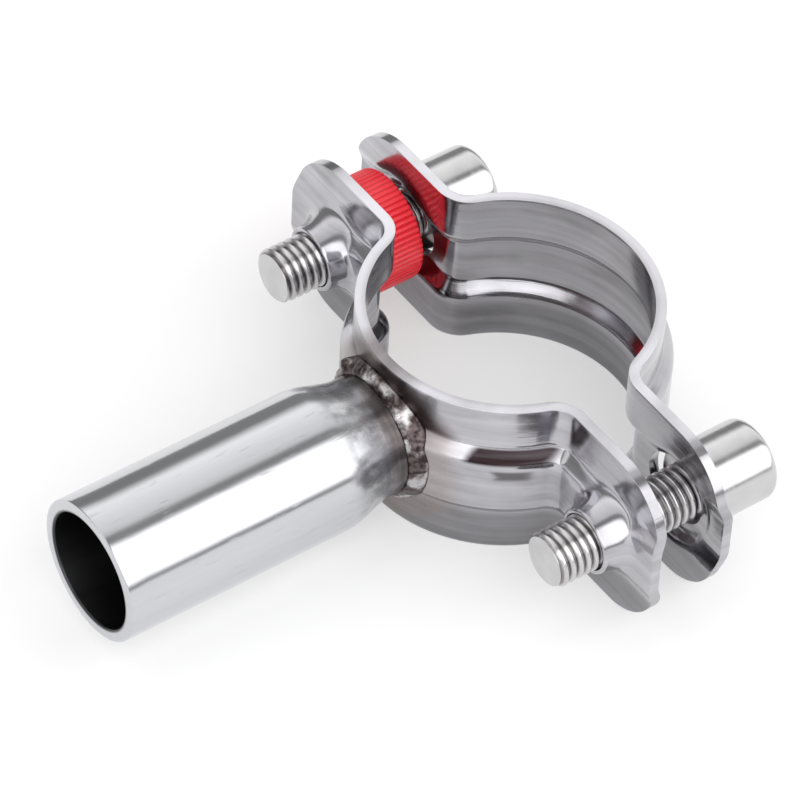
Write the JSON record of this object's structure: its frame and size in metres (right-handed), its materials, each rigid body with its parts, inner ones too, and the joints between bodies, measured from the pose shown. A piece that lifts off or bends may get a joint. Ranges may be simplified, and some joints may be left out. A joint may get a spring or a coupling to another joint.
{
  "type": "double pipe clip",
  "caption": "Two-piece pipe clamp of ribbed pressed steel with socket screws, a knurled plastic ring and a welded socket tube.",
  "frame": {"origin": "axis of the clamped pipe at half the strap width", "axes": "+Z along the pipe, +X from the ringed bolt to the other bolt, -Y along the tube towards its open end"},
  "size_m": [0.083, 0.0907, 0.026],
  "materials": {
    "pressed_steel": "satin, brushed along the strap",
    "polished_tube": "polished",
    "weld_metal": "rough, heat-tinted",
    "bolt_steel": "semi-polished",
    "red_plastic": "semi-gloss"
  },
  "bodies": {
    "front": {"front_half": "pressed_steel", "socket_tube": "polished_tube", "weld_bead": "weld_metal"},
    "rear": {"rear_half": "pressed_steel"},
    "left_screw": {"left_bolt": "bolt_steel"},
    "right_screw": {"right_bolt": "bolt_steel"},
    "ring": {"lock_ring": "red_plastic"}
  },
  "joints": [
    {"name": "rear_half_slide", "type": "slide", "parent": "front", "child": "rear", "axis": [0, 1, 0], "range_m": [-0.00094, 0.0075]},
    {"name": "left_bolt_turn", "type": "hinge", "parent": "rear", "child": "left_screw", "pos_m": [-0.0316, 0, 0], "axis": [0, 1, 0], "range_deg": [-271, 2161]},
    {"name": "right_bolt_turn", "type": "hinge", "parent": "rear", "child": "right_screw", "pos_m": [0.0316, 0, 0], "axis": [0, 1, 0], "range_deg": [-271, 2161]},
    {"name": "ring_turn", "type": "hinge", "parent": "front", "child": "ring", "pos_m": [-0.0316, 0, 0], "axis": [0, 1, 0], "continuous": true}
  ],
  "couplings": [
    {"joint": "left_bolt_turn", "follows": "rear_half_slide", "rad_per_m": 5026.5},
    {"joint": "right_bolt_turn", "follows": "rear_half_slide", "rad_per_m": 5026.5}
  ]
}
